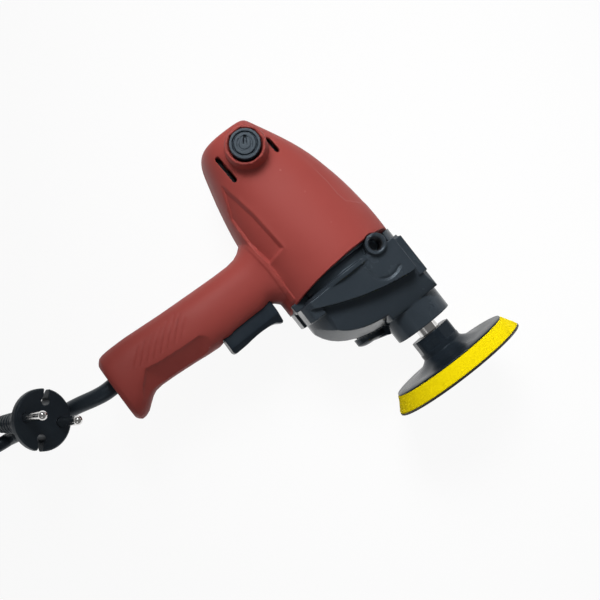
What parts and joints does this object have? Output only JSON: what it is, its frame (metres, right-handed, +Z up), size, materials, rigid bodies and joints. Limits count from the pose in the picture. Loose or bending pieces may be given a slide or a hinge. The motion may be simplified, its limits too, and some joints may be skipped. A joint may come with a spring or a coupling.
{
  "type": "rotary polisher",
  "caption": "Small pistol-grip electric rotary polisher with a foam pad on a backing plate, a geared motor head, a slide trigger and a mains lead with a round plug.",
  "frame": {"origin": "bottom centre of the tool's own box, without the lead and plug", "axes": "+X along the spindle towards the pad, +Y towards the top of the barrel (the handle points along -Y), +Z up from the surface the tool lies on"},
  "size_m": [0.2524, 0.357, 0.0777],
  "materials": {
    "red_body": "moulded",
    "black_cast": "gloss",
    "screw_steel": "plated",
    "bright_steel": "bright",
    "spring_steel": "bright",
    "cast_plate": "die cast",
    "brass_fit": "turned",
    "black_plastic": "moulded",
    "black_rubber": "matte",
    "yellow_foam": "open foam",
    "black_hook": "hook pile",
    "iron_core": "laminated",
    "copper_wire": "enamelled",
    "carbon": "pressed",
    "tie_band": "moulded"
  },
  "bodies": {
    "tool": {"near_shell": "red_body", "far_shell": "red_body", "gear_case": "black_cast", "housing_screws": "screw_steel", "gear_case_screws": "screw_steel", "clamp_screws": "screw_steel", "plug_pins": "bright_steel", "spindle_front_bearing": "bright_steel", "motor_front_bearing": "bright_steel", "motor_rear_bearing": "bright_steel", "spindle_clip": "bright_steel", "brush_springs": "spring_steel", "trigger_spring": "spring_steel", "bearing_plate": "cast_plate", "spindle_rear_bush": "brass_fit", "brush_tubes": "brass_fit", "brush_caps": "black_plastic", "switch_body": "black_plastic", "cord_clamp": "black_plastic", "capacitor": "black_plastic", "collar_seal": "black_rubber", "cord_guard": "black_rubber", "cord_lead": "black_rubber", "cord_coil": "black_rubber", "cord_tail": "black_rubber", "plug_body": "black_rubber", "inner_cord": "black_rubber", "stator_core": "iron_core", "field_coils": "copper_wire", "carbon_brushes": "carbon", "coil_tie": "tie_band"},
    "spindle_set": {"spindle": "bright_steel", "spindle_gear": "bright_steel", "backing_plate": "black_plastic", "foam_pad": "yellow_foam", "hook_layer": "black_hook"},
    "rotor": {"armature_shaft": "bright_steel", "armature_core": "iron_core", "armature_windings": "copper_wire", "commutator": "copper_wire", "cooling_fan": "black_plastic"},
    "trigger_slide": {"trigger": "black_plastic"}
  },
  "joints": [
    {"name": "spindle_spin", "type": "hinge", "parent": "tool", "child": "spindle_set", "pos_m": [0.05435, 0.0533, 0.0382], "axis": [1, 0, 0], "continuous": true},
    {"name": "rotor_spin", "type": "hinge", "parent": "tool", "child": "rotor", "pos_m": [-0.00565, 0.0343, 0.0382], "axis": [1, 0, 0], "continuous": true},
    {"name": "trigger_pull", "type": "slide", "parent": "tool", "child": "trigger_slide", "axis": [-1, 0, 0], "range_m": [0, 0.0045], "stiffness_N_per_m": 900, "springref_m": -0.004, "deforming": ["trigger_spring"]}
  ],
  "couplings": [
    {"joint": "rotor_spin", "follows": "spindle_spin", "ratio": -2.4545}
  ]
}
